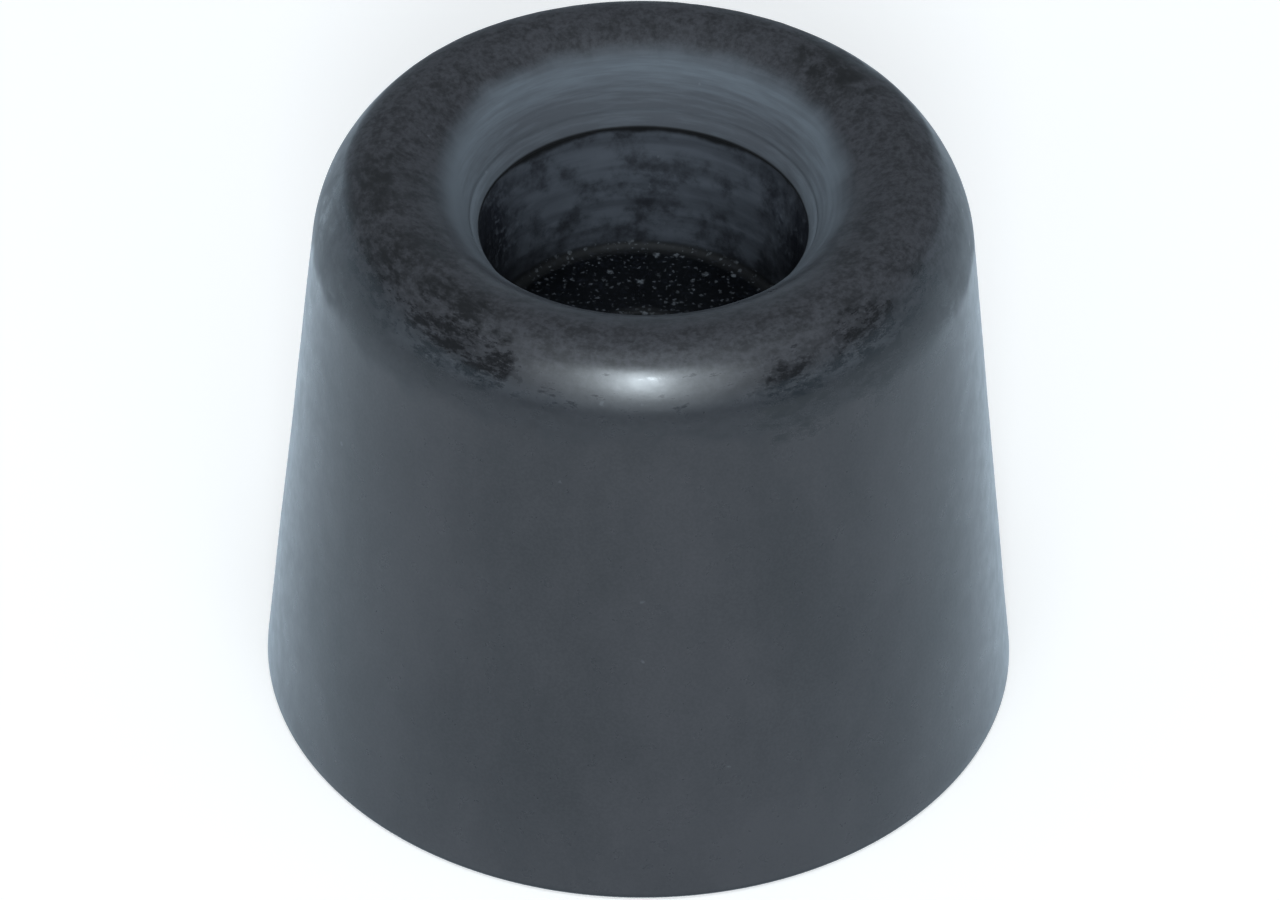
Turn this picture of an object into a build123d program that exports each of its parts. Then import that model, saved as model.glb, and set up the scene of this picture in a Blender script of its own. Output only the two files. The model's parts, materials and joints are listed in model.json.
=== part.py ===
# Rubber door buffer, moulded in one piece: a tapered round body with a rounded ring top, a dished
# mouth, a round pocket that takes a screw head and washer, and a plain screw hole through its web.
# Millimetres. The origin is the centre of the flat base, and +Z runs up the buffer's axis.
import os
from math import cos, radians, sin, tan

from build123d import *

# Outside
base_radius = 20.0          # radius of the flat base
height = 32.2               # base to the crest of the ring
side_draft = 6.4            # lean of the side from upright, degrees
base_edge_radius = 0.2      # rounding where the side meets the base
shoulder_radius = 7.1       # outer shoulder, tangent to the side
crest_radius = 2.6          # rounding over the top of the ring
crest_start = 38.6          # direction the surface faces where the shoulder becomes the crest, degrees
                            # up from the horizontal
crest_end = 108.7           # direction it faces where the crest becomes the dished mouth

# Mouth, pocket and screw hole
rim_slope = 65.0            # steepness of the dished mouth where it meets the pocket, degrees
pocket_radius = 8.45        # pocket for the screw head and its washer
pocket_depth = 8.0          # rim of the pocket down to its floor
floor_corner_radius = 0.4   # rounding between the pocket's wall and its floor
screw_hole_radius = 2.75    # plain hole for a 5 mm screw

# The side ends where the shoulder and the crest together reach the full height
draft = radians(side_draft)
crest_from = radians(crest_start)
shoulder_rise = shoulder_radius * (sin(crest_from) - sin(draft))
crest_rise = crest_radius * (1 - sin(crest_from))
side_top = height - shoulder_rise - crest_rise

# The dished mouth is one arc that leaves the crest tangentially and has the rim's slope at the rim,
# so its chord has the mean of its two end slopes
crest_to = radians(crest_end)
side_top_radius = base_radius - side_top * tan(draft)
crest_centre_radius = (
    side_top_radius - shoulder_radius * cos(draft) + (shoulder_radius - crest_radius) * cos(crest_from)
)
mouth_radius = crest_centre_radius + crest_radius * cos(crest_to)
mouth_top = height - crest_radius * (1 - sin(crest_to))
mouth_chord_slope = radians((crest_end - 90 + rim_slope) / 2)
rim_height = mouth_top - (mouth_radius - pocket_radius) * tan(mouth_chord_slope)

with BuildPart() as rubber_buffer:
    # Half section, turned once round the axis
    with BuildSketch(Plane.XZ):
        with BuildLine():
            base = Line((0, 0), (base_radius, 0))
            side = Line(base @ 1, (side_top_radius, side_top))
            shoulder = JernArc(side @ 1, side % 1, shoulder_radius, crest_start - side_draft)
            crest = JernArc(shoulder @ 1, shoulder % 1, crest_radius, crest_end - crest_start)
            mouth = TangentArc(crest @ 1, (pocket_radius, rim_height), tangent=crest % 1)
            rim = Line(mouth @ 1, (0, rim_height))
            axis_line = Line(rim @ 1, base @ 0)
        make_face()
    revolve(axis=Axis.Z)

    # The pocket and the screw hole share the axis
    with Locations((0, 0, rim_height)):
        CounterBoreHole(screw_hole_radius, pocket_radius, pocket_depth)

    floor_height = rim_height - pocket_depth
    circles = rubber_buffer.edges().filter_by(GeomType.CIRCLE)
    base_circle = circles.group_by(Axis.Z)[0].sort_by(SortBy.RADIUS)[-1]
    fillet(base_circle, base_edge_radius)
    circles = rubber_buffer.edges().filter_by(GeomType.CIRCLE)
    floor_circles = circles.filter_by_position(Axis.Z, floor_height - 0.01, floor_height + 0.01)
    fillet(floor_circles.sort_by(SortBy.RADIUS)[-1], floor_corner_radius)

rubber_buffer.part.label = "rubber_buffer"

os.makedirs("parts", exist_ok=True)
export_step(rubber_buffer.part, "parts/rubber_buffer.step")
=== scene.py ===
import json
from math import cos, exp, pi, radians, sin, tan

import bpy
from mathutils import Matrix, Vector


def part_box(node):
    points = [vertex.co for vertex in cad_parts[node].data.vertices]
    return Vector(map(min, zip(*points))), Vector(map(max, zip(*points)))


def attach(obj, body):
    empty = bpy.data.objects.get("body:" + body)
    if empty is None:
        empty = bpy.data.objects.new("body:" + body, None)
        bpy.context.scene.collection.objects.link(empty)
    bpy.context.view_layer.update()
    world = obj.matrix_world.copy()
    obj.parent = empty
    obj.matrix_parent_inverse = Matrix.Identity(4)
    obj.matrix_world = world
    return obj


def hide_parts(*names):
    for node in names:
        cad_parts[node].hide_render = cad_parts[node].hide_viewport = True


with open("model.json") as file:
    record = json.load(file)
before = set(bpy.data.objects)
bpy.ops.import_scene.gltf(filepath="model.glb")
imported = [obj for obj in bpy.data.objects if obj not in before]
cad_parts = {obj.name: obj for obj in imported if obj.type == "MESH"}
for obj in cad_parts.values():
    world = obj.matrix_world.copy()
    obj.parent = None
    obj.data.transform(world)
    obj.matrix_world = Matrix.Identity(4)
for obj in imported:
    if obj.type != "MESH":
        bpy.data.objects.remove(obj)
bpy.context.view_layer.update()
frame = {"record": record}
print("frame loaded")

mm = 0.001
node = "rubber_buffer"
low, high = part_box(node)
mountSizes = {mount["name"]: mount["dims"] for mount in frame["record"]["mounts"]}


class Wires:
    # puts nodes into one tree and joins them up
    def __init__(self, tree):
        self.tree = tree

    def add(self, kind, inputs=None, **settings):
        made = len(self.tree.nodes)
        fresh = self.tree.nodes.new(kind)
        fresh.location = (190 * (made % 14), -260 * (made // 14))
        for name, value in settings.items():
            setattr(fresh, name, value)
        for socket, value in (inputs or {}).items():
            self.feed(fresh.inputs[socket], value)
        return fresh

    def feed(self, socket, value):
        if isinstance(value, bpy.types.NodeSocket):
            self.tree.links.new(value, socket)
        else:
            socket.default_value = value

    def maths(self, operation, *values):
        return self.add("ShaderNodeMath", dict(enumerate(values)), operation=operation).outputs[0]

    def plus(self, first, second):
        return self.maths("ADD", first, second)

    def times(self, first, second):
        return self.maths("MULTIPLY", first, second)

    def rest(self, share):
        # what a share leaves of one
        return self.maths("SUBTRACT", 1.0, share)

    def vector(self, operation, *values):
        fresh = self.add("ShaderNodeVectorMath", dict(enumerate(values)), operation=operation)
        return fresh.outputs["Value" if operation in ("LENGTH", "DISTANCE") else "Vector"]

    def scaled(self, vector, factor):
        inputs = {0: vector, "Scale": factor}
        return self.add("ShaderNodeVectorMath", inputs, operation="SCALE").outputs[0]

    def parts(self, vector):
        return self.add("ShaderNodeSeparateXYZ", {0: vector}).outputs

    def joined(self, *values):
        return self.add("ShaderNodeCombineXYZ", dict(enumerate(values))).outputs[0]

    def ramp(self, value, start, end, to=(0.0, 1.0)):
        # a soft step from to[0] to to[1] while value goes from start to end
        inputs = {"Value": value, "From Min": start, "From Max": end, "To Min": to[0], "To Max": to[1]}
        return self.add("ShaderNodeMapRange", inputs, interpolation_type="SMOOTHSTEP").outputs[0]

    def noise(self, vector, scale, detail=2.0, roughness=0.5):
        inputs = {"Vector": vector, "Scale": scale, "Detail": detail, "Roughness": roughness}
        return self.add("ShaderNodeTexNoise", inputs).outputs[0]

    def unevenness(self, vector, scale, depth, detail=2.0):
        # noise from about -depth to +depth
        spread = self.maths("MULTIPLY_ADD", self.noise(vector, scale, detail), 2.0, -1.0)
        return self.times(spread, depth)

    def mix(self, factor, first, second):
        inputs = {0: factor, 6: first, 7: second}     # the colour sockets of this node have no own names
        return self.add("ShaderNodeMix", inputs, data_type="RGBA").outputs[2]

    def group(self, tree, inputs):
        fresh = self.add("ShaderNodeGroup", node_tree=tree)
        for name, value in inputs.items():
            self.feed(fresh.inputs[name], value)
        return fresh.outputs[0]

    def roundAxis(self, place):
        # distance from the axis, height, and the direction out from the axis
        across = self.parts(place)
        flat = self.joined(across[0], across[1])
        return self.vector("LENGTH", flat), across[2], self.parts(self.vector("NORMALIZE", flat))


def newGroup(name, kind, inputs, outputs):
    tree = bpy.data.node_groups.new(name, kind)
    for label, socketType, value in inputs:
        socket = tree.interface.new_socket(name=label, in_out="INPUT", socket_type=socketType)
        if value is not None:
            socket.default_value = value
    for label, socketType in outputs:
        tree.interface.new_socket(name=label, in_out="OUTPUT", socket_type=socketType)
    return tree


def newMaterial(name):
    material = bpy.data.materials.new(name)
    material.use_nodes = True
    material.node_tree.nodes.clear()
    return material, Wires(material.node_tree)


# The section of the moulding, from the screw hole round the outside and back. Angles are the way the
# surface faces, in degrees up from the horizontal.
sectionLook = {
    "sideDraft": 6.4,
    "shoulderRadius": 7.1 * mm,
    "crestRadius": 2.6 * mm,
    "crestStart": 38.6,
    "crestEnd": 108.7,
    "rimFaces": 155.0,
    "baseRadius": 20.0 * mm,
    "baseEdge": 0.2 * mm,
    "holeEdge": 0.25 * mm,
    "floorCorner": 0.4 * mm,
    "lipRound": 0.14 * mm,        # nose of the thin lip at the pocket's rim
    "lipRise": 0.05 * mm,
    "lipSpread": 0.432 * mm,
    "noseOut": 0.077 * mm,        # how far the nose's centre is outside the pocket
    "noseRadius": 0.126 * mm,
    "noseEnds": 250.0,
    "grooveDepth": 0.07 * mm,     # witness line just outside the lip
    "grooveAway": 0.72 * mm,
    "grooveWidth": 0.12 * mm,
    "undercut": 0.42 * mm,        # the wall steps back under the lip and comes out again slowly
    "undercutStart": 0.12 * mm,
    "undercutFade": 3.4 * mm,
    "undercutStep": 0.3,
    "basePoints": 12,
    "sidePoints": 56,
    "shoulderPoints": 22,
    "mouthPoints": 68,
    "undercutPoints": 22,
    "wallPoints": 20,
    "floorPoints": 18,
    "holePoints": 10,
    "cornerPoints": 6,
    "holeEdgePoints": 4,
}


def facing(degrees):
    return Vector((cos(radians(degrees)), sin(radians(degrees))))


def linePoints(start, end, count):
    return [start.lerp(end, step / count) for step in range(count)]


def arcPoints(centre, radius, fromDegrees, toDegrees, count):
    turn = toDegrees - fromDegrees
    return [centre + radius * facing(fromDegrees + turn * step / count) for step in range(count)]


def sectionPoints(look):
    holeRadius = mountSizes["screw_hole"]["r_mm"] * mm
    pocketRadius = mountSizes["pocket"]["r_mm"] * mm
    floorHeight = mountSizes["screw_hole"]["length_mm"] * mm
    draft, crestStart, crestEnd = look["sideDraft"], look["crestStart"], look["crestEnd"]
    shoulderRadius, crestRadius = look["shoulderRadius"], look["crestRadius"]

    # outside: side, shoulder and crest, each tangent to the next
    shoulderRise = shoulderRadius * (facing(crestStart).y - facing(draft).y)
    crestRise = crestRadius * (1 - facing(crestStart).y)
    sideTop = high.z - shoulderRise - crestRise
    sideEnd = Vector((look["baseRadius"] - sideTop * tan(radians(draft)), sideTop))
    shoulderCentre = sideEnd - shoulderRadius * facing(draft)
    crestCentre = shoulderCentre + (shoulderRadius - crestRadius) * facing(crestStart)
    mouthStart = crestCentre + crestRadius * facing(crestEnd)

    # dished mouth: one arc from the crest to the pocket's radius
    across = facing(crestEnd) - facing(look["rimFaces"])
    mouthArc = (mouthStart.x - pocketRadius) / across.x
    mouthCentre = mouthStart - mouthArc * facing(crestEnd)
    rimHeight = (mouthCentre + mouthArc * facing(look["rimFaces"])).y

    edge = look["baseEdge"]
    edgeOut = look["baseRadius"] - edge * (1 + sin(radians(draft))) / cos(radians(draft))
    edgeCentre = Vector((edgeOut, edge))
    points = linePoints(Vector((holeRadius + look["holeEdge"], 0)), Vector((edgeOut, 0)), look["basePoints"])
    points += arcPoints(edgeCentre, edge, -90, draft, look["cornerPoints"])
    points += linePoints(edgeCentre + edge * facing(draft), sideEnd, look["sidePoints"])
    points += arcPoints(shoulderCentre, shoulderRadius, draft, crestStart, look["shoulderPoints"])
    points += arcPoints(crestCentre, crestRadius, crestStart, crestEnd, look["shoulderPoints"])

    # the mouth carries a thin lip at the pocket and a witness line outside it
    mouthSteps = look["mouthPoints"]
    lipNose = look["lipRound"] / mouthArc * 180 / pi
    for step in range(mouthSteps):
        faces = crestEnd + (look["rimFaces"] - lipNose - crestEnd) * step / mouthSteps
        away = radians(look["rimFaces"] - faces) * mouthArc
        groove = look["grooveDepth"] * exp(-((away - look["grooveAway"]) / look["grooveWidth"]) ** 2)
        lip = look["lipRise"] * exp(-(away / look["lipSpread"]) ** 2)
        points.append(mouthCentre + (mouthArc + lip - groove) * facing(faces))

    # the lip's nose, then back under it and down the pocket's wall
    nose = Vector((pocketRadius + look["noseOut"], rimHeight - look["lipRound"]))
    points += arcPoints(nose, look["noseRadius"], look["rimFaces"], look["noseEnds"], 7)
    underTop = rimHeight - look["lipRound"] * 2
    underSteps = look["undercutPoints"]
    for step in range(underSteps):
        down = look["undercutFade"] * (step / underSteps) ** 2
        quick = min(1, look["undercutStep"] + down / look["undercutStart"])
        slow = 0.5 + 0.5 * cos(pi * down / look["undercutFade"])
        points.append(Vector((pocketRadius + look["undercut"] * quick * slow, underTop - down)))
    corner = look["floorCorner"]
    cornerCentre = Vector((pocketRadius - corner, floorHeight + corner))
    wallStart = Vector((pocketRadius, underTop - look["undercutFade"]))
    points += linePoints(wallStart, Vector((pocketRadius, cornerCentre.y)), look["wallPoints"])
    points += arcPoints(cornerCentre, corner, 0, -90, look["cornerPoints"])

    # the floor, then down the screw hole
    edge = look["holeEdge"]
    floorStart = Vector((cornerCentre.x, floorHeight))
    holeTop = Vector((holeRadius, floorHeight - edge))
    holeFoot = Vector((holeRadius, edge))
    outwards = Vector((edge, 0))
    points += linePoints(floorStart, Vector((holeRadius + edge, floorHeight)), look["floorPoints"])
    points += arcPoints(holeTop + outwards, edge, 90, 180, look["holeEdgePoints"])
    points += linePoints(holeTop, holeFoot, look["holePoints"])
    points += arcPoints(holeFoot + outwards, edge, 180, 270, look["holeEdgePoints"])
    return points, rimHeight, floorHeight, pocketRadius


section, rimHeight, floorHeight, pocketRadius = sectionPoints(sectionLook)
print("section drawn,", len(section), "points")


# The lathe turns the section round the axis and gives the rubber its unevenness
latheLook = {
    "Steps Round": 320,
    "Path Radius": 10 * mm,
    "Waviness": 0.05 * mm,
    "Waviness Size": 11 * mm,
    "Dimple Depth": 0.012 * mm,
    "Dimple Size": 1.6 * mm,
    "Scuff Depth": 0.03 * mm,
    "Scuff Size": 0.75 * mm,
    "Scuff Patch Size": 6.25 * mm,
    "Scuffs From": 31.4 * mm,
    "Flow Line Depth": 0.036 * mm,
    "Flow Line Width": 0.42 * mm,
    "Flow Line Weak Side": 0.25,
    "Flow Line Inside": pocketRadius + 0.5 * mm,
    "Flow Line Outside": pocketRadius + 3.2 * mm,
    "Rim Height": rimHeight,
    "Pocket Roughness": 0.07 * mm,
    "Pocket Grain Size": 0.9 * mm,
    "Calm Floor Height": rimHeight - 7.0 * mm,
    "Calm Floor Share": 0.25,
    "Base Flat To": 0.3 * mm,
    "Base Uneven From": 2.5 * mm,
    "Seed": 4,
}


def latheTree():
    inputs = [("Section", "NodeSocketGeometry", None)]
    for name, value in latheLook.items():
        inputs.append((name, "NodeSocketInt" if isinstance(value, int) else "NodeSocketFloat", value))
    inputs.append(("Material", "NodeSocketMaterial", None))
    tree = newGroup("turnedMoulding", "GeometryNodeTree", inputs, [("Geometry", "NodeSocketGeometry")])
    wires = Wires(tree)
    given = wires.add("NodeGroupInput").outputs
    circle = {"Resolution": given["Steps Round"], "Radius": given["Path Radius"]}
    path = wires.add("GeometryNodeCurvePrimitiveCircle", circle).outputs[0]
    swept = wires.add("GeometryNodeCurveToMesh", {"Curve": path, "Profile Curve": given["Section"]})
    turned = wires.add("GeometryNodeFlipFaces", {"Mesh": swept.outputs[0]})   # outwards

    place = wires.add("GeometryNodeInputPosition").outputs[0]
    out, up, along = wires.roundAxis(place)
    shifted = wires.vector("ADD", place, wires.joined(given["Seed"]))

    def perMetre(size):
        return wires.maths("DIVIDE", 1.0, size)

    # slow waviness and fine dimples, kept off the flat base
    waves = wires.unevenness(shifted, perMetre(given["Waviness Size"]), given["Waviness"], 1.0)
    dimples = wires.unevenness(shifted, perMetre(given["Dimple Size"]), given["Dimple Depth"])
    offBase = wires.ramp(up, given["Base Flat To"], given["Base Uneven From"])
    amount = wires.times(wires.plus(waves, dimples), offBase)

    # scuffs on the ring, in patches
    scuffed = wires.ramp(wires.noise(shifted, perMetre(given["Scuff Patch Size"]), 2.0), 0.42, 0.62)
    scuffsStart = wires.plus(given["Scuffs From"], -1 * mm)
    scuffed = wires.times(scuffed, wires.ramp(up, scuffsStart, given["Scuffs From"]))
    scuffs = wires.unevenness(shifted, perMetre(given["Scuff Size"]), given["Scuff Depth"], 3.0)
    amount = wires.plus(amount, wires.times(scuffs, scuffed))

    # flow lines run round the mouth, stronger on one side
    steps = wires.maths("DIVIDE", wires.plus(out, up), given["Flow Line Width"])
    lineSpace = wires.joined(wires.times(along[0], 1.3), wires.times(along[1], 1.3), steps)
    lines = wires.unevenness(lineSpace, 1.0, given["Flow Line Depth"], 1.0)
    aboveRim = wires.ramp(up, given["Rim Height"], wires.plus(given["Rim Height"], 0.7 * mm))
    inMouth = wires.times(aboveRim, wires.ramp(out, given["Flow Line Outside"], given["Flow Line Inside"]))
    inMouth = wires.times(inMouth, wires.ramp(along[0], -0.4, 0.6, (given["Flow Line Weak Side"], 1.0)))
    amount = wires.plus(amount, wires.times(lines, inMouth))

    # the pocket came off a rough core pin
    underRim = wires.ramp(up, given["Rim Height"], wires.plus(given["Rim Height"], -0.8 * mm))
    inside = wires.ramp(out, given["Flow Line Inside"], wires.plus(given["Flow Line Inside"], -0.3 * mm))
    inPocket = wires.times(wires.times(underRim, inside), offBase)
    rough = wires.unevenness(shifted, perMetre(given["Pocket Grain Size"]), given["Pocket Roughness"], 3.0)
    calmFrom = given["Calm Floor Height"]
    calmer = wires.ramp(up, wires.plus(calmFrom, -0.8 * mm), calmFrom, (given["Calm Floor Share"], 1.0))
    amount = wires.plus(amount, wires.times(wires.times(rough, inPocket), calmer))

    offset = wires.scaled(wires.add("GeometryNodeInputNormal").outputs[0], amount)
    moved = wires.add("GeometryNodeSetPosition", {"Geometry": turned.outputs[0], "Offset": offset})
    smooth = wires.add("GeometryNodeSetShadeSmooth", {"Geometry": moved.outputs[0]})
    real = wires.add("GeometryNodeRealizeInstances", {"Geometry": smooth.outputs[0]})
    dressing = {"Geometry": real.outputs[0], "Material": given["Material"]}
    dressed = wires.add("GeometryNodeSetMaterial", dressing)
    wires.add("NodeGroupOutput", {"Geometry": dressed.outputs[0]})
    return tree


def turnedBuffer(material):
    curve = bpy.data.curves.new("bufferSection", "CURVE")
    curve.dimensions = "2D"
    curve.fill_mode = "NONE"
    spline = curve.splines.new("POLY")
    spline.points.add(len(section) - 1)
    for point, place in zip(spline.points, section):
        point.co = (place.x - latheLook["Path Radius"], -place.y, 0, 1)
    spline.use_cyclic_u = True
    turning = bpy.data.objects.new("bufferSection", curve)
    bpy.context.scene.collection.objects.link(turning)
    modifier = turning.modifiers.new("lathe", "NODES")
    modifier.node_group = latheTree()
    for item in modifier.node_group.interface.items_tree:
        if item.in_out == "INPUT" and item.name in latheLook:
            modifier[item.identifier] = latheLook[item.name]
        if item.name == "Material":
            modifier[item.identifier] = material
    bpy.context.view_layer.update()
    evaluated = turning.evaluated_get(bpy.context.evaluated_depsgraph_get())
    mesh = bpy.data.meshes.new_from_object(evaluated)
    mesh.name = "rubberBuffer"
    bpy.data.objects.remove(turning)
    made = bpy.data.objects.new("rubberBuffer", mesh)
    bpy.context.scene.collection.objects.link(made)
    return made


# Black rubber. Heights, places and widths are in millimetres from the middle of the base.
rubberLook = {
    "sideColour": (0.011, 0.0105, 0.012, 1),
    "sideCloudAndFloorLight": (0.030, 0.028, 0.031, 1),
    "ringColour": (0.010, 0.010, 0.012, 1),
    "ringBloom": (0.040, 0.040, 0.046, 1),
    # black of bare rubber for the smudges, also used for painted shade under the lip and along the base
    "smudgeAndShadeColour": (0.0012, 0.0016, 0.0025, 1),
    "mouthColour": (0.060, 0.065, 0.075, 1),
    "mouthBloomAndHighlight": (0.110, 0.126, 0.144, 1),
    "pocketColour": (0.007, 0.008, 0.012, 1),
    "pocketDust": (0.062, 0.069, 0.083, 1),
    # painted shade: the pocket's floor is darker than its wall
    "floorShadeColour": (0.0008, 0.0012, 0.002, 1),
    "dustColour": (0.30, 0.32, 0.35, 1),
    "ringFrom": 27.8,
    "mouthTo": 10.2,
    "edgeWander": 1.5,            # how far the ring's lower edge strays
    "cloudStrength": 0.65,
    "speckleStrength": 0.35,
    "baseBounceLight": 0.4,              # painted light from the floor: the side is lighter from the next height down to the base
    "baseBounceTo": 9.0,
    "baseContactShade": 0.8,              # painted contact shade: a dark line where the side meets the base
    "streaksRound": 12.0,
    "streaksAcross": 1.5,
    "smudgeStrength": 0.8,
    "looseSmudges": 0.55,
    # the next two set the painted shade on the pocket's wall and the specks on it
    "wallShadeStrength": 0.9,
    "floorDust": 0.45,
    "shadedWallDust": 0.15,
    "looseDust": 0.10,
    "sideRoughness": (0.27, 0.33),
    "ringRoughness": 0.14,        # this and the next six are added to the side's
    "crestRoughness": 0.26,
    "mouthRoughness": 0.42,
    "wallRoughness": 0.45,
    "cornerRoughness": 0.36,
    "shadedWallRoughness": -0.3,
    "smudgeRoughness": -0.22,
    "specularLevel": 0.4,
    "polish": 0.7,                # coat on the shoulder where doors strike
    "smudgedPolish": 0.1,
    "polishRoughness": 0.34,
    "reliefScale": 3.5,
    "reliefStrength": 0.06,
    "reliefDepth": 0.05 * mm,
    "smudges": (                  # place and radius
        ((-9.8, -11.6, 31.2), 3.8),
        ((-7.6, -13.9, 30.8), 2.2),
        ((-13.4, -7.6, 30.8), 4.6),
        ((-10.6, -6.9, 32.1), 1.6),
        ((-14.2, -2.0, 31.4), 4.0),
        ((11.4, -11.3, 29.8), 3.8),
        ((14.4, -8.0, 29.2), 3.8),
        ((7.6, -14.5, 29.0), 3.0),
        ((10.4, 9.4, 32.0), 4.0),
    ),
    "shadedWall": (                # painted shade: darker parts at the left and right of the pocket's wall
        ((-8.9, 0.5, 24.5), 6.6),
        ((8.9, 0.0, 24.0), 6.6),
    ),
}


def softPatchGroup():
    # a blotch with a ragged edge at a given place
    inputs = [
        ("Position", "NodeSocketVector", None),
        ("Centre", "NodeSocketVector", None),
        ("Radius", "NodeSocketFloat", 4.0),
        ("Softness", "NodeSocketFloat", 0.6),
        ("Raggedness", "NodeSocketFloat", 0.8),
        ("Grain", "NodeSocketFloat", 0.8),
    ]
    tree = newGroup("softPatch", "ShaderNodeTree", inputs, [("Mask", "NodeSocketFloat")])
    wires = Wires(tree)
    given = wires.add("NodeGroupInput").outputs
    away = wires.vector("DISTANCE", given["Position"], given["Centre"])
    away = wires.maths("DIVIDE", away, given["Radius"])
    ragged = wires.maths("SUBTRACT", wires.noise(given["Position"], given["Grain"], 4.0, 0.62), 0.5)
    away = wires.plus(away, wires.times(ragged, given["Raggedness"]))
    mask = wires.ramp(away, 1.0, wires.rest(given["Softness"]))
    wires.add("NodeGroupOutput", {"Mask": mask})
    return tree


def specksGroup():
    # small round specks; Share is how many of the cells have one
    inputs = [
        ("Position", "NodeSocketVector", None),
        ("Spacing", "NodeSocketFloat", 1.0),
        ("Size", "NodeSocketFloat", 0.15),
        ("Share", "NodeSocketFloat", 0.3),
    ]
    tree = newGroup("specks", "ShaderNodeTree", inputs, [("Mask", "NodeSocketFloat")])
    wires = Wires(tree)
    given = wires.add("NodeGroupInput").outputs
    wobble = wires.add("ShaderNodeTexNoise", {"Vector": given["Position"], "Scale": 4.5, "Detail": 2.0})
    place = wires.vector("ADD", given["Position"], wires.scaled(wobble.outputs[1], 0.32))
    scale = wires.maths("DIVIDE", 1.0, given["Spacing"])
    cells = wires.add("ShaderNodeTexVoronoi", {"Vector": place, "Scale": scale}).outputs
    near = wires.times(cells["Distance"], given["Spacing"])
    chance = wires.add("ShaderNodeSeparateColor", {0: cells["Color"]}).outputs
    size = wires.times(given["Size"], wires.plus(0.35, chance[1]))
    dot = wires.ramp(near, size, wires.times(size, 0.45))
    kept = wires.maths("LESS_THAN", chance[0], given["Share"])
    wires.add("NodeGroupOutput", {"Mask": wires.times(dot, kept)})
    return tree


def rubberZones(wires):
    # where the ring, the mouth, the pocket and its floor are, with the noises that they share
    look = rubberLook
    rim, pocketFloor, pocketOut = rimHeight / mm, floorHeight / mm, pocketRadius / mm
    place = wires.scaled(wires.add("ShaderNodeTexCoord").outputs["Object"], 1 / mm)
    out, up, along = wires.roundAxis(place)
    ragged = wires.unevenness(place, 0.45, look["edgeWander"], 4.0)
    ring = wires.ramp(wires.plus(up, ragged), look["ringFrom"] - 0.6, look["ringFrom"] + 0.5)

    aboveRim = wires.ramp(up, rim - 0.12, rim + 0.05)
    mouthEdge = wires.plus(out, wires.times(ragged, 0.3))
    mouthEdge = wires.plus(mouthEdge, wires.ramp(along[1], 0.0, 1.0, (0.0, -0.8)))
    inMouth = wires.ramp(mouthEdge, look["mouthTo"] + 0.7, look["mouthTo"] - 0.7)
    insideWall = wires.ramp(out, pocketOut + 0.75, pocketOut + 0.55)
    pocket = wires.times(insideWall, wires.ramp(up, rim + 0.02, rim - 0.12))
    onFloor = wires.times(pocket, wires.ramp(up, pocketFloor + 0.55, pocketFloor + 0.2))
    flatFloor = wires.times(onFloor, wires.ramp(out, pocketOut - 0.45, pocketOut - 0.8))

    # streaks run round the ring
    acrossRing = wires.times(wires.maths("SUBTRACT", out, up), look["streaksAcross"])
    turnX, turnY = [wires.times(side, look["streaksRound"]) for side in (along[0], along[1])]
    streakSpace = wires.joined(turnX, turnY, acrossRing)
    return {
        "place": place,
        "out": out,
        "up": up,
        "along": along,
        "ragged": ragged,
        "ring": ring,
        "mouth": wires.times(inMouth, aboveRim),
        "pocket": pocket,
        "onFloor": onFloor,
        "flatFloor": wires.times(flatFloor, wires.ramp(out, 3.1, 3.5)),
        "streakSpace": streakSpace,
        "streaks": wires.noise(streakSpace, 1.0, 6.0, 0.7),
        "grain": wires.noise(place, 3.6, 3.0, 0.65),
    }


def patchMask(wires, tree, places, place, softness, raggedness, grain):
    mask = 0.0
    for centre, radius in places:
        inputs = {"Position": place, "Centre": centre, "Radius": radius, "Softness": softness}
        inputs.update({"Raggedness": raggedness, "Grain": grain})
        mask = wires.maths("MAXIMUM", mask, wires.group(tree, inputs))
    return mask


def sideTone(wires, at):
    # faint clouds and fine speckle
    look = rubberLook
    drawn = wires.vector("MULTIPLY", at["place"], (0.13, 0.13, 0.07))
    cloudsAndFloorLight = wires.ramp(wires.noise(drawn, 1.0, 6.0, 0.64), 0.34, 0.70)
    speckle = wires.noise(at["place"], 6.5, 2.0, 0.5)
    speckle = wires.ramp(speckle, 0.3, 0.7, (0.0, look["speckleStrength"]))
    cloudsAndFloorLight = wires.plus(wires.times(cloudsAndFloorLight, look["cloudStrength"]), speckle)
    # painted light from the floor: lighter towards the base
    cloudsAndFloorLight = wires.plus(cloudsAndFloorLight, wires.ramp(at["up"], look["baseBounceTo"], 0.5, (0.0, look["baseBounceLight"])))
    return wires.mix(cloudsAndFloorLight, look["sideColour"], look["sideCloudAndFloorLight"])


def ringTone(wires, at):
    # mottled bloom over black rubber
    mottle = wires.plus(wires.times(at["streaks"], 0.6), wires.times(at["grain"], 0.4))
    mottle = wires.ramp(mottle, 0.36, 0.62)
    mottle = wires.times(mottle, wires.ramp(at["up"], 29.4, 31.6, (0.25, 1.0)))
    return wires.mix(mottle, rubberLook["ringColour"], rubberLook["ringBloom"])


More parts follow.
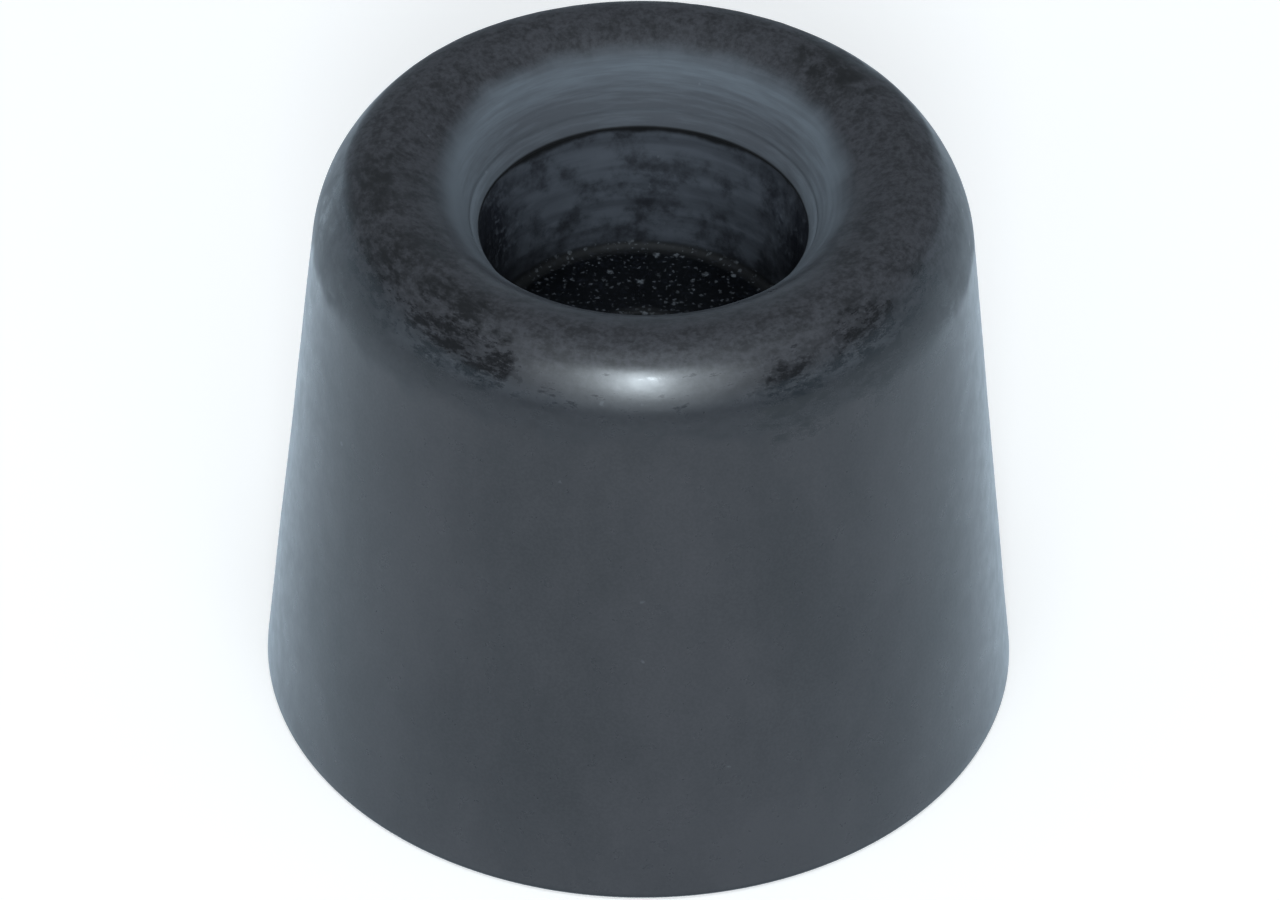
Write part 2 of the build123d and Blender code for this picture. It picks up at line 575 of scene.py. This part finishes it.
def mouthTone(wires, at):
    # chalky bloom in faint rings, strongest at the back, with a painted highlight towards the crest
    look = rubberLook
    # painted highlight: lighter towards the crest
    crestHighlight = wires.ramp(at["out"], pocketRadius / mm + 0.6, look["mouthTo"] + 0.2)
    across = wires.times(wires.plus(at["out"], at["up"]), 2.6)
    ringSpace = wires.joined(wires.times(at["along"][0], 3.0), wires.times(at["along"][1], 3.0), across)
    rings = wires.ramp(wires.noise(ringSpace, 1.0, 4.0, 0.6), 0.3, 0.7, (-0.2, 0.3))
    bloomAndHighlight = wires.plus(wires.times(crestHighlight, 0.7), rings)
    bloomAndHighlight = wires.plus(bloomAndHighlight, wires.ramp(at["along"][1], 0.8, -0.1, (0.0, 1.0)))
    return wires.mix(bloomAndHighlight, look["mouthColour"], look["mouthBloomAndHighlight"])


def smudgeMask(wires, at, softPatch):
    # bare black rubber where the bloom has been rubbed away
    look = rubberLook
    rubbed = wires.ramp(wires.noise(at["streakSpace"], 0.9, 6.0, 0.78), 0.42, 0.58)
    scuffed = patchMask(wires, softPatch, look["smudges"], at["place"], 0.9, 1.2, 1.0)
    depth = wires.plus(0.15, wires.times(rubbed, look["smudgeStrength"]))
    smudges = wires.times(wires.ramp(scuffed, 0.0, 0.7), depth)
    loose = wires.ramp(at["streaks"], 0.57, 0.68, (0.0, look["looseSmudges"]))
    loose = wires.times(wires.times(at["ring"], loose), wires.ramp(at["mouth"], 0.4, 0.0))
    return wires.maths("MAXIMUM", smudges, loose)


def wallTone(wires, at, wallShade):
    # dust on the pocket's wall, with painted shade at two places and a painted shadow under the lip
    look = rubberLook
    dustAndShade = wires.ramp(wires.noise(at["place"], 0.5, 5.0, 0.62), 0.30, 0.58)
    bandSpace = wires.joined(at["along"][0], at["along"][1], wires.times(at["up"], 1.3))
    bands = wires.ramp(wires.noise(bandSpace, 1.0, 3.0), 0.3, 0.6)
    dustAndShade = wires.times(dustAndShade, wires.plus(0.55, wires.times(bands, 0.45)))
    # painted shade: less of the lighter dust at the left and right of the wall
    dustAndShade = wires.times(dustAndShade, wires.rest(wires.times(wallShade, look["wallShadeStrength"])))
    tone = wires.mix(dustAndShade, look["pocketColour"], look["pocketDust"])
    rim = rimHeight / mm
    # painted shadow: near black just under the lip
    underLipShadow = wires.ramp(wires.plus(at["up"], wires.times(at["ragged"], 0.3)), rim - 0.9, rim - 0.6)
    return wires.mix(underLipShadow, tone, look["smudgeAndShadeColour"])


def dustMask(wires, at, wallShade, specks):
    # specks, thick on the pocket's floor and few elsewhere
    look = rubberLook

    def dots(spacing, size, share):
        inputs = {"Position": at["place"], "Spacing": spacing, "Size": size, "Share": share}
        return wires.group(specks, inputs)

    onWall = wires.times(wires.times(at["pocket"], wallShade), look["shadedWallDust"])
    settled = wires.plus(wires.times(at["onFloor"], look["floorDust"]), onWall)
    floorDust = wires.maths("MAXIMUM", wires.times(dots(0.30, 0.11, 0.9), 0.6), dots(0.80, 0.20, 0.6))
    floorDust = wires.times(floorDust, settled)
    floorDust = wires.times(floorDust, wires.ramp(at["grain"], 0.35, 0.6, (0.3, 1.0)))
    return wires.maths("MAXIMUM", floorDust, wires.times(dots(2.2, 0.14, 0.4), look["looseDust"]))


def rubberRoughness(wires, at, wallShade, smudges, struck):
    look = rubberLook
    unpolished = wires.times(at["ring"], wires.rest(struck))
    onWall = wires.maths("SUBTRACT", at["pocket"], at["onFloor"])
    floorCorner = wires.maths("SUBTRACT", at["onFloor"], at["flatFloor"])
    shadedWall = wires.times(at["pocket"], wallShade)
    added = (
        (wires.ramp(at["up"], 31.2, 31.9), look["crestRoughness"]),
        (at["mouth"], look["mouthRoughness"]),
        (onWall, look["wallRoughness"]),
        (floorCorner, look["cornerRoughness"]),
        (shadedWall, look["shadedWallRoughness"]),
        (unpolished, look["ringRoughness"]),
        (smudges, look["smudgeRoughness"]),
    )
    roughness = wires.ramp(wires.noise(at["place"], 0.8, 4.0, 0.6), 0.3, 0.7, look["sideRoughness"])
    for mask, amount in added:
        roughness = wires.plus(roughness, wires.times(mask, amount))
    return roughness


def rubberMaterial():
    look = rubberLook
    material, wires = newMaterial("blackRubber")
    softPatch, specks = softPatchGroup(), specksGroup()
    at = rubberZones(wires)
    # painted shade: two darker patches on the pocket's wall, at the left and right
    wallShade = patchMask(wires, softPatch, look["shadedWall"], at["place"], 0.5, 0.8, 0.8)
    wallShade = wires.times(wallShade, wires.ramp(at["grain"], 0.66, 0.5))
    smudges = smudgeMask(wires, at, softPatch)

    colour = wires.mix(at["ring"], sideTone(wires, at), ringTone(wires, at))
    colour = wires.mix(at["mouth"], colour, mouthTone(wires, at))
    colour = wires.mix(smudges, colour, look["smudgeAndShadeColour"])
    colour = wires.mix(at["pocket"], colour, wallTone(wires, at, wallShade))
    # painted shade: the pocket's floor is near black, with a grain of the wall's colour
    floorShadeTone = wires.mix(wires.ramp(at["grain"], 0.5, 0.7), look["floorShadeColour"], look["pocketColour"])
    colour = wires.mix(at["onFloor"], colour, floorShadeTone)
    colour = wires.mix(dustMask(wires, at, wallShade, specks), colour, look["dustColour"])
    # painted contact shade: a dark line along the base
    baseContactShade = wires.ramp(at["up"], 0.42, 0.12, (0.0, look["baseContactShade"]))
    colour = wires.mix(baseContactShade, colour, look["smudgeAndShadeColour"])

    # the front shoulder, which doors strike, is polished
    struck = wires.ramp(at["along"][1], -0.50, -0.86)
    shoulder = wires.times(wires.ramp(at["up"], 29.3, 30.0), wires.ramp(at["up"], 32.0, 31.5))
    polish = wires.ramp(smudges, 0.8, 0.0, (look["smudgedPolish"], look["polish"]))
    polish = wires.times(wires.times(shoulder, struck), polish)

    relief = wires.noise(at["place"], look["reliefScale"], 1.0)
    reliefInputs = {"Strength": look["reliefStrength"], "Distance": look["reliefDepth"], "Height": relief}
    bump = wires.add("ShaderNodeBump", reliefInputs).outputs[0]
    inputs = {
        "Base Color": colour,
        "Roughness": rubberRoughness(wires, at, wallShade, smudges, struck),
        "Normal": bump,
        "Specular IOR Level": look["specularLevel"],
        "Coat Weight": polish,
        "Coat Roughness": look["polishRoughness"],
    }
    shader = wires.add("ShaderNodeBsdfPrincipled", inputs)
    wires.add("ShaderNodeOutputMaterial", {"Surface": shader.outputs[0]})
    return material


buffer = turnedBuffer(rubberMaterial())
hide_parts(node)
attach(buffer, "root")
print("buffer turned,", len(buffer.data.polygons), "faces")


# A pale round cove under an open sky
coveLook = {
    "gap": 0.05 * mm,             # keeps the cove clear of the buffer's flat base
    "innerRadius": 0.6,
    "floorRadius": 1.2,
    "bend": 0.3,
    "wallTop": 0.34,
    "stepsRound": 96,
    "bendSteps": 16,
    "colour": (0.85, 0.81, 0.78, 1),
    "seenLift": 0.36,             # added for the camera, so that the cove reads as white
    "mirrorLift": 0.70,           # added for mirrored and see-through rays
    "mirrorColour": (0.50, 0.76, 1.0, 1),
    "skyColour": (0.82, 0.91, 1.0, 1),
    "skyStrength": 0.40,
}


def whiteCove():
    look = coveLook
    bendCentre = Vector((look["floorRadius"], look["bend"]))
    profile = [Vector((look["innerRadius"], 0))]
    profile += arcPoints(bendCentre, look["bend"], -90, 0, look["bendSteps"])
    profile.append(Vector((look["floorRadius"] + look["bend"], look["bend"])))
    profile.append(Vector((look["floorRadius"] + look["bend"], look["wallTop"])))
    turns = look["stepsRound"]
    verts = [(0, 0, 0)]
    faces = []
    for place in profile:
        for turn in range(turns):
            bearing = 2 * pi * turn / turns
            verts.append((place.x * cos(bearing), place.x * sin(bearing), place.y))
    for turn in range(turns):
        following = (turn + 1) % turns
        faces.append((0, 1 + turn, 1 + following))
        for row in range(len(profile) - 1):
            start = 1 + row * turns
            above = start + turns
            faces.append((start + turn, above + turn, above + following, start + following))
    mesh = bpy.data.meshes.new("whiteCove")
    mesh.from_pydata(verts, [], faces)
    mesh.shade_smooth()
    cove = bpy.data.objects.new("whiteCove", mesh)
    cove.location.z = low.z - look["gap"]
    bpy.context.scene.collection.objects.link(cove)

    material, wires = newMaterial("paleCove")
    ray = wires.add("ShaderNodeLightPath").outputs
    mirrored = wires.maths("MAXIMUM", ray["Is Glossy Ray"], ray["Is Transmission Ray"])
    matt = wires.add("ShaderNodeBsdfDiffuse", {"Color": look["colour"]})
    seen = wires.add("ShaderNodeEmission", {"Strength": wires.times(ray["Is Camera Ray"], look["seenLift"])})
    mirrorInputs = {"Color": look["mirrorColour"], "Strength": wires.times(mirrored, look["mirrorLift"])}
    mirror = wires.add("ShaderNodeEmission", mirrorInputs)
    lifts = wires.add("ShaderNodeAddShader", {0: seen.outputs[0], 1: mirror.outputs[0]})
    both = wires.add("ShaderNodeAddShader", {0: matt.outputs[0], 1: lifts.outputs[0]})
    # the cove can be looked through from below
    fromBelow = wires.add("ShaderNodeNewGeometry").outputs["Backfacing"]
    clear = wires.add("ShaderNodeBsdfTransparent")
    surface = wires.add("ShaderNodeMixShader", {0: fromBelow, 1: both.outputs[0], 2: clear.outputs[0]})
    wires.add("ShaderNodeOutputMaterial", {"Surface": surface.outputs[0]})
    mesh.materials.append(material)

    world = bpy.data.worlds.new("sky")
    bpy.context.scene.world = world
    world.use_nodes = True
    world.node_tree.nodes.clear()
    wires = Wires(world.node_tree)
    sky = wires.add("ShaderNodeBackground", {"Color": look["skyColour"], "Strength": look["skyStrength"]})
    wires.add("ShaderNodeOutputWorld", {"Surface": sky.outputs[0]})


# Soft lamps in front and above; each is aimed just under the ring
lampColour = (0.82, 0.93, 1.0)
lampAim = 0.8                     # share of the buffer's height
lampLook = {
    "keyLamp": {"elevation": 31, "away": 0.70, "width": 0.13, "height": 0.12, "watts": 2.1},
    "frontSoftbox": {"elevation": 33, "away": 0.80, "width": 1.00, "height": 0.44, "watts": 2.3},
    "topSoftbox": {"elevation": 84, "away": 0.90, "width": 0.50, "height": 0.36, "watts": 1.6},
}


def addLamps():
    target = Vector((0, 0, high.z * lampAim))
    for name, look in lampLook.items():
        lamp = bpy.data.lights.new(name, "AREA")
        lamp.shape = "ELLIPSE"
        lamp.size = look["width"]
        lamp.size_y = look["height"]
        lamp.energy = look["watts"]
        lamp.color = lampColour
        holder = bpy.data.objects.new(name, lamp)
        elevation = radians(look["elevation"])
        along = Vector((0, -cos(elevation), sin(elevation)))
        holder.location = target + along * look["away"]
        holder.rotation_euler = along.to_track_quat("Z", "Y").to_euler()
        bpy.context.scene.collection.objects.link(holder)


# Camera: a long lens from the front, looking down
cameraLook = {
    "back": 246.4 * mm,
    "height": 220.9 * mm,
    "downTilt": 40.10,
    "roll": 0.70,
    "lens": 172.4,
    "shiftX": -0.0007,
    "sensorWidth": 36,
    "nearest": 10 * mm,
}


def addCamera():
    look = cameraLook
    data = bpy.data.cameras.new("camera")
    data.lens = look["lens"]
    data.sensor_width = look["sensorWidth"]
    data.shift_x = look["shiftX"]
    data.clip_start = look["nearest"]
    holder = bpy.data.objects.new("camera", data)
    tilt = Matrix.Rotation(radians(90 - look["downTilt"]), 4, "X")
    roll = Matrix.Rotation(radians(look["roll"]), 4, "Z")
    holder.matrix_world = Matrix.Translation((0, -look["back"], look["height"])) @ tilt @ roll
    bpy.context.scene.collection.objects.link(holder)
    bpy.context.scene.camera = holder


whiteCove()
addLamps()
addCamera()
bpy.context.scene.view_settings.view_transform = "Standard"
print("cove, lamps and camera set")
